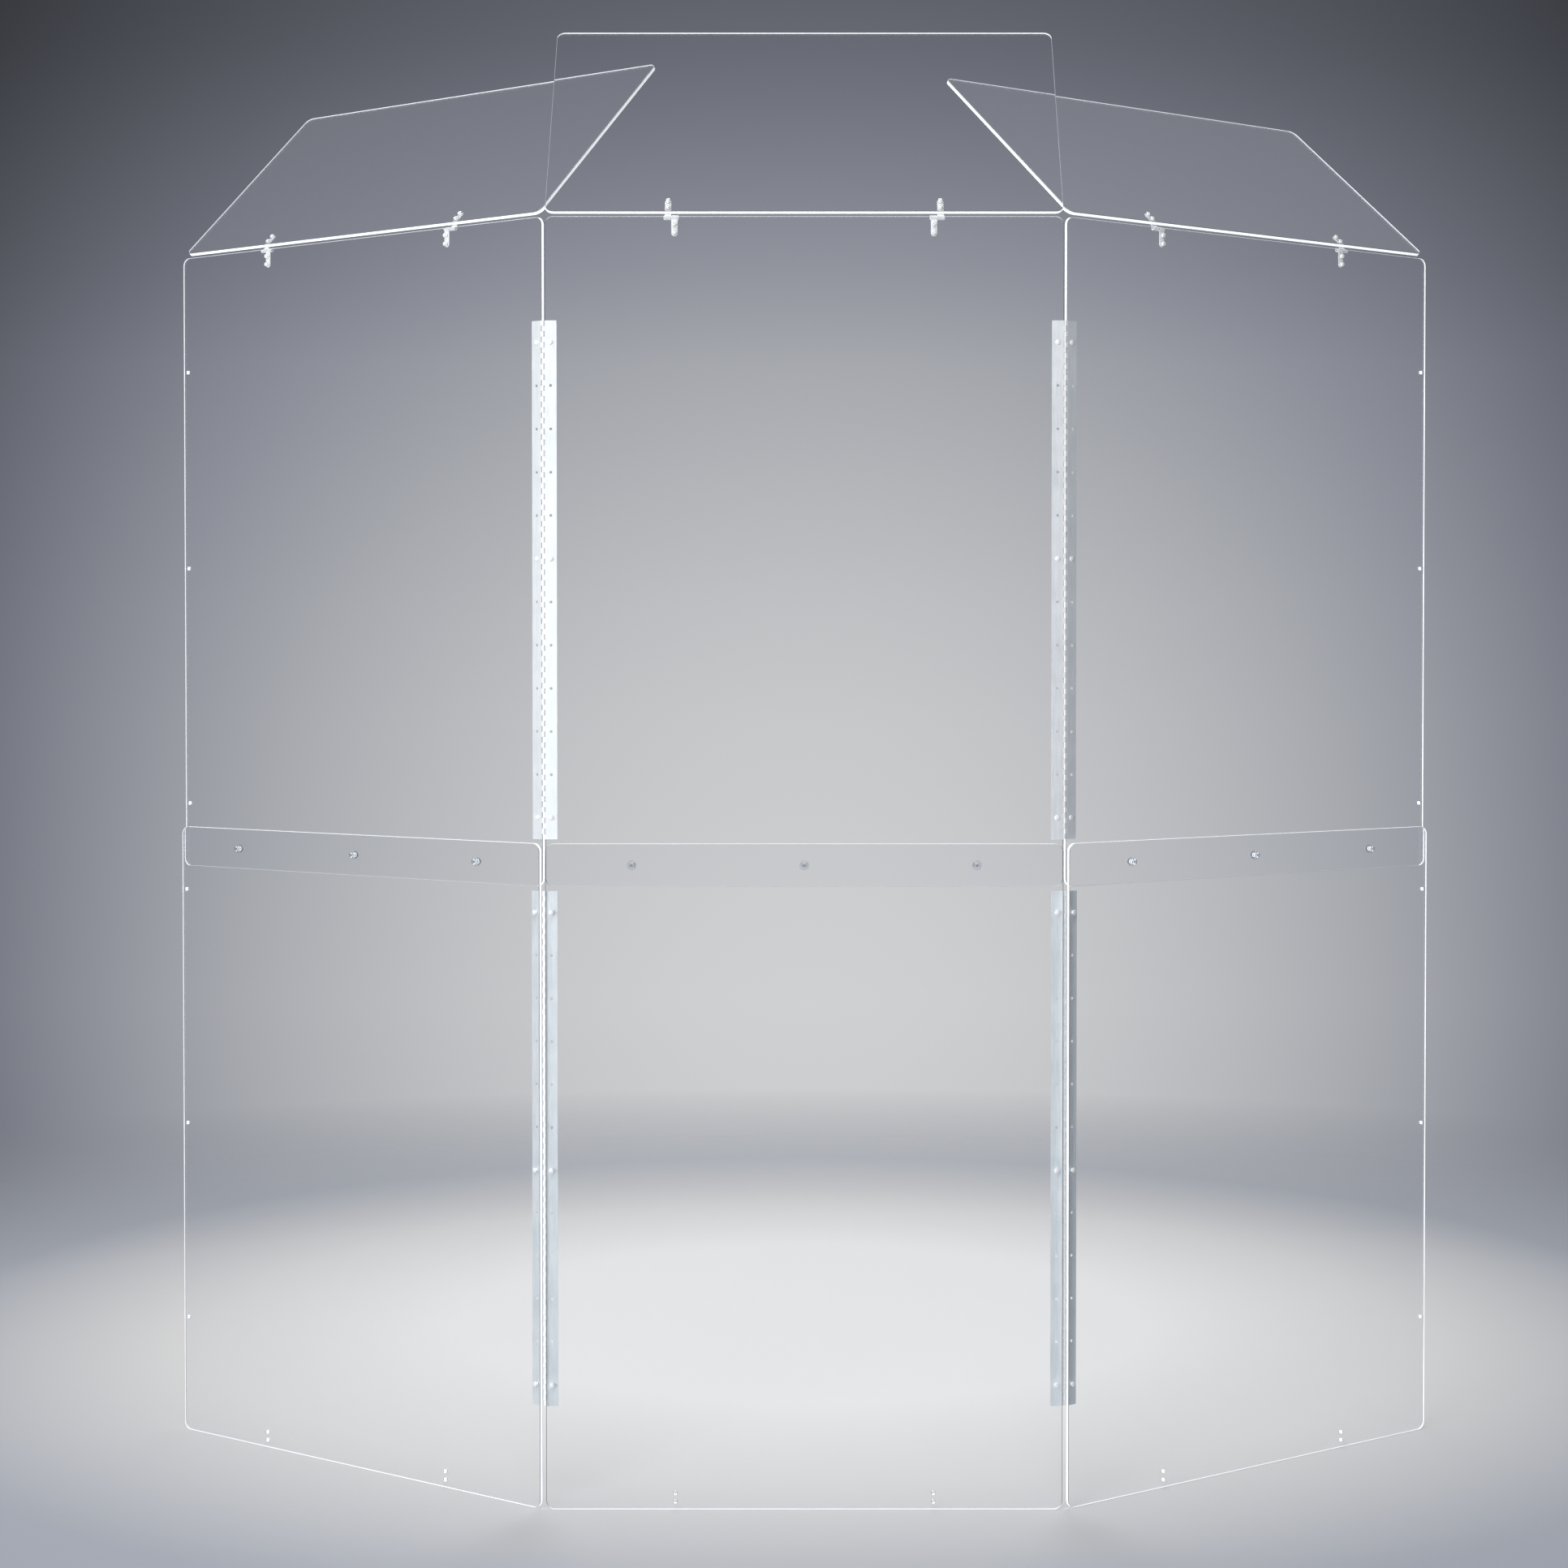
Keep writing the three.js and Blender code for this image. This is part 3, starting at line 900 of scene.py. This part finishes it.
def clip_knuckle():
    """Half of a friction hinge's barrel, along Y from y = 0."""
    length = (CLIP_BARREL_L - SEAT_GAP) / 2
    bore_r = CLIP_PIN_R + CLIP_PIN_FIT
    profile = [
        (bore_r, 0),
        (CLIP_BARREL_R - CLIP_RIM, 0),
        (CLIP_BARREL_R, CLIP_RIM),
        (CLIP_BARREL_R, length - CLIP_RIM),
        (CLIP_BARREL_R - CLIP_RIM, length),
        (bore_r, length),
    ]
    return turned_ring(profile)


def clip_leaf(hole_places):
    """A friction hinge's leaf about its pin, on the +X side of the barrel's middle, running up."""
    shape = Shape()
    shape.place(clip_knuckle(), translation(x=CLIP_BARREL_L / 2) @ FRONT_TO_SIDE)
    low = (CLIP_LEAF_X - CLIP_LEAF_W / 2, 0)
    high = (CLIP_LEAF_X + CLIP_LEAF_W / 2, max(hole_places) + CLIP_LEAF_W / 2)
    round_end = CLIP_LEAF_W / 2 - CLIP_END_FLAT
    outline = outline_with_arcs(low, high, [CLIP_CORNER_R, CLIP_CORNER_R, round_end, round_end])
    shape.place(plate(outline, [], -CLIP_BARREL_R, CLIP_LEAF_T - CLIP_BARREL_R, CLIP_ARRIS))
    screw = clip_screw(CLIP_STACK)
    for place in hole_places:
        shape.place(screw, translation(x=CLIP_LEAF_X, z=place))
    return shape


# The shield


def for_side(side):
    """The mirroring that puts a piece made for the +X side on the side given."""
    return UNMOVED if side > 0 else MIRROR_X


def bay_matrix(side):
    """The frame of a bay at its lower sheet's middle. A wing hangs on the piano hinges' axis."""
    if side == 0:
        return UNMOVED
    turn = Matrix.Rotation(side * math.radians(FOLD_ANGLE), 4, "Z")
    return translation(side * HINGE_X, AXIS_Y) @ turn @ translation(side * HINGE_X, -AXIS_Y)


def add_panels(bay, matrix, body):
    for tier in TIERS:
        dress(f"{bay}_{tier.name}_panel", panel(tier), matrix, SHEET_SET, body)
    for i, share in enumerate(LAP_SHARES):
        there = matrix @ translation(share * PANEL_W, 0, PANEL_H - LAP / 2)
        dress(f"{bay}_lap_screw_{i + 1}", lap_screw(), there, (FASTENER,), body)
        dress(f"{bay}_lap_insert_{i + 1}", lap_insert(), there, (FASTENER,), body)


def add_deflector(bay, side, tilt, matrix, body):
    upright = matrix @ translation(0, CLIP_AXIS_Y, CLIP_AXIS_Z)
    leaning = upright @ Matrix.Rotation(-math.radians(tilt), 4, "X")
    flap = bay + "_flap"
    dress(bay + "_deflector", deflector(-side), leaning, FLAP_SET, flap)
    panel_leaf = clip_leaf([inset - CLIP_AXIS_DROP for inset in PANEL_CLIP_HOLES])
    deflector_leaf = clip_leaf([inset + DEFLECTOR_LIFT for inset in DEFLECTOR_CLIP_HOLES])
    pin = rod(CLIP_PIN_R, CLIP_BARREL_L, CLIP_PIN_ROUND)
    for way, place in ((-1, "left"), (1, "right")):
        name = f"{bay}_{place}_clip"
        middle = translation(way * CLIP_SPACING / 2)
        hung = upright @ middle @ for_side(-way) @ MIRROR_Z
        dress(name + "_panel_leaf", panel_leaf, hung, (CLIP,), body)
        dress(name + "_pin", pin, upright @ middle @ FRONT_TO_SIDE, (PIN,), body)
        held = leaning @ middle @ for_side(way)
        dress(name + "_deflector_leaf", deflector_leaf, held, (CLIP,), flap)


def add_hinges(bay, side, wing_matrix):
    centre_axis = translation(side * HINGE_X, AXIS_Y)
    centre_place = centre_axis @ for_side(-side)
    wing_place = wing_matrix @ translation(-side * HINGE_X, AXIS_Y) @ for_side(side)
    pin = rod(HINGE_PIN_R, HINGE_L, HINGE_PIN_ROUND)
    metals = (HINGE, CLIP)
    for tier in TIERS:
        name = f"{bay}_{tier.name}_hinge"
        pin_place = centre_axis @ translation(z=tier.z_at(HINGE_FROM_END + HINGE_L / 2)) @ FRONT_TO_UP
        dress(name + "_centre_leaf", hinge_leaf(tier, 0), centre_place, metals, "centre_bay")
        dress(name + "_pin", pin, pin_place, (PIN,), "centre_bay")
        dress(name + "_wing_leaf", hinge_leaf(tier, 1), wing_place, metals, bay + "_wing")


for bay, side, tilt, body in BAYS:
    matrix = bay_matrix(side)
    add_panels(bay, matrix, body)
    add_deflector(bay, side, tilt, matrix, body)
    if side:
        add_hinges(bay, side, matrix)


# Studio

# Floor, with the middle and reach of a pool of light painted into its colour, and display levels by the
# distance from there
FLOOR_R = 6.0
FLOOR_DROP = 0.0005
FLOOR_STEPS = 96
FLOOR_PAINTED_POOL = ((0.0, 1.0), (1.15, 1.15))
FLOOR_SPAN = 3
FLOOR_PAINTED_LEVELS = (
    (0.15, (250, 250, 250)),
    (0.26, (229, 229, 229)),
    (0.33, (205, 206, 210)),
    (0.4, (173, 178, 188)),
    (0.65, (156, 161, 170)),
)
FLOOR_FADE = ((0.3, (0, 0, 0)), (0.55, (1, 1, 1)))


def make_floor():
    work = bmesh.new()
    bmesh.ops.create_circle(work, cap_ends=True, segments=FLOOR_STEPS, radius=FLOOR_R)
    mesh = bpy.data.meshes.new("floor")
    work.to_mesh(mesh)
    work.free()
    floor = bpy.data.objects.new("floor", mesh)
    floor.location.z = -FLOOR_DROP
    bpy.context.scene.collection.objects.link(floor)
    mesh.materials.append(floor_material())


def floor_material():
    """Pale floor with a painted pool of light, brightest behind the shield, that gives way to the
    backdrop further out.
    """
    material, nodes = new_material("studio_floor")
    place = nodes.parts(nodes.add("TexCoord").outputs["Object"])
    offsets = [
        nodes.math("DIVIDE", nodes.math("SUBTRACT", part, middle), reach)
        for part, middle, reach in zip(place, *FLOOR_PAINTED_POOL)
    ]
    away = nodes.math("MULTIPLY", nodes.distance(*offsets), 1 / FLOOR_SPAN)
    # Painted light: colour levels that stand in for the pool of light on the floor
    painted_light_tones = [(at, [level(value) for value in tone]) for at, tone in FLOOR_PAINTED_LEVELS]
    diffuse = nodes.add("BsdfDiffuse")
    nodes.link(nodes.ramp(away, painted_light_tones), diffuse.inputs["Color"])
    out = nodes.math("MULTIPLY", nodes.distance(place[0], place[1]), 1 / FLOOR_R)
    gone = nodes.ramp(out, FLOOR_FADE)
    nodes.show(nodes.mix(gone, diffuse, nodes.add("BsdfTransparent")))
    return material


# Backdrop behind the shield, as display levels by the slope of the view and tints by tone
BACKDROP_STOPS = (
    (-0.20, 204), (-0.12, 212), (-0.07, 208), (-0.02, 203), (0.02, 195), (0.062, 183),
    (0.105, 169), (0.139, 149), (0.176, 130), (0.216, 108), (0.25, 95), (0.4, 90), (0.9, 150),
)
BACKDROP_TINTS = (
    (0.43, (0.91, 0.965, 1.16)), (0.58, (0.94, 0.975, 1.11)), (0.67, (0.98, 1.0, 1.055)),
    (0.77, (0.995, 1.0, 1.02)), (0.84, (1.0, 1.0, 1.0)),
)
BACKDROP_FALL = 4.9
WIDEST_SQUARE = 0.085
LEAST_AHEAD = 0.05
AHEAD_START = 0.78
AHEAD_FADE = 0.14
ROOM_LEVEL = 150
DISPLAY_GAMMA = 2.2
CEILING_DIM = ((0.8, (1.0, 1.0, 1.0)), (0.95, (0.6, 0.6, 0.6)))

# Ambient light, and the share of it by which the left is brighter and the right darker
AMBIENT = 0.45
AMBIENT_LEAN = 0.9


def backdrop_tone(nodes, way):
    """The display tone of the backdrop by height, darker to the sides, and of the room elsewhere."""
    ahead = nodes.math("MAXIMUM", way[1], LEAST_AHEAD)
    aside = nodes.math("DIVIDE", way[0], ahead)
    up = nodes.math("DIVIDE", way[2], ahead)
    low = BACKDROP_STOPS[0][0]
    span = BACKDROP_STOPS[-1][0] - low
    share = nodes.math("MULTIPLY", nodes.math("SUBTRACT", up, low), 1 / span, clamp=True)
    stops = [((height - low) / span, (value / TOP_LEVEL,) * 3) for height, value in BACKDROP_STOPS]
    column = nodes.ramp(share, stops)
    square = nodes.math("MINIMUM", nodes.math("MULTIPLY", aside, aside), WIDEST_SQUARE)
    fall = nodes.math("SUBTRACT", 1.0, nodes.math("MULTIPLY", square, BACKDROP_FALL))
    past = nodes.math("SUBTRACT", way[1], AHEAD_START)
    inside = nodes.math("MULTIPLY", past, 1 / AHEAD_FADE, clamp=True)
    ahead_tone = nodes.math("MULTIPLY", nodes.math("MULTIPLY", column, fall), inside)
    outside = nodes.math("SUBTRACT", 1.0, inside)
    room_tone = nodes.math("MULTIPLY", outside, ROOM_LEVEL / TOP_LEVEL)
    return nodes.math("ADD", ahead_tone, room_tone)


def make_world():
    """Backdrop and room for the rays that show them, and ambient light for the rest."""
    world = bpy.data.worlds.new("studio")
    bpy.context.scene.world = world
    world.use_nodes = True
    nodes = Nodes(world.node_tree)
    way = nodes.parts(nodes.add("TexCoord").outputs["Generated"])
    tone = backdrop_tone(nodes, way)
    dim = nodes.ramp(way[2], CEILING_DIM)
    backdrop = nodes.add("Background")
    nodes.link(nodes.ramp(tone, BACKDROP_TINTS), backdrop.inputs["Color"])
    light = nodes.math("MULTIPLY", nodes.math("POWER", tone, DISPLAY_GAMMA), dim)
    nodes.link(light, backdrop.inputs["Strength"])
    ambient = nodes.add("Background")
    ambient.inputs["Color"].default_value = (1, 1, 1, 1)
    lean = nodes.math("MULTIPLY", way[0], AMBIENT * AMBIENT_LEAN)
    nodes.link(nodes.math("SUBTRACT", AMBIENT, lean), ambient.inputs["Strength"])
    path = nodes.add("LightPath")
    seen = nodes.math("MAXIMUM", path.outputs["Is Camera Ray"], path.outputs["Is Glossy Ray"])
    seen = nodes.math("MAXIMUM", seen, path.outputs["Is Transmission Ray"])
    nodes.show(nodes.mix(seen, ambient, backdrop), "OutputWorld")


# Soft boxes as place, aim, width, height and power, with the mean of their fading light
SOFT_BOXES = (
    ((-3.4, -1.9, 1.2), (-0.3, 0.1, 0.9), 1.9, 2.3, 14),
    ((-1.7, -3.5, 0.85), (0.0, 0.1, 0.5), 2.0, 1.6, 38),
    ((-0.6, -2.4, 3.1), (0.0, 0.1, 1.3), 2.4, 1.8, 36),
    ((0.0, 1.9, 3.7), (0.0, 0.3, 0.8), 1.9, 2.6, 45),
)
PARABOLA = 4.0
GLOW_MEAN = (PARABOLA / 6) ** 2


def soften(data):
    """Light that fades from the middle of a soft box to its edges, by a parabola each way."""
    data.use_nodes = True
    nodes = Nodes(data.node_tree)
    place = nodes.parts(nodes.add("NewGeometry").outputs["Parametric"])
    shares = [
        nodes.math("MULTIPLY", nodes.math("MULTIPLY", side, PARABOLA), nodes.math("SUBTRACT", 1.0, side))
        for side in place[:2]
    ]
    glow = nodes.add("Emission")
    nodes.link(nodes.math("MULTIPLY", *shares), glow.inputs["Strength"])
    nodes.show(glow, "OutputLight")


def make_lights():
    for i, (place, aim, width, height, power) in enumerate(SOFT_BOXES):
        data = bpy.data.lights.new(f"soft_box_{i + 1}", "AREA")
        data.shape = "RECTANGLE"
        data.size = width
        data.size_y = height
        data.energy = power / GLOW_MEAN
        soften(data)
        lamp = bpy.data.objects.new(data.name, data)
        lamp.location = place
        direction = Vector(aim) - Vector(place)
        lamp.rotation_euler = direction.to_track_quat("-Z", "Y").to_euler()
        lamp.visible_transmission = False
        bpy.context.scene.collection.objects.link(lamp)


make_floor()
make_world()
make_lights()

bpy.context.scene.view_settings.view_transform = "Standard"
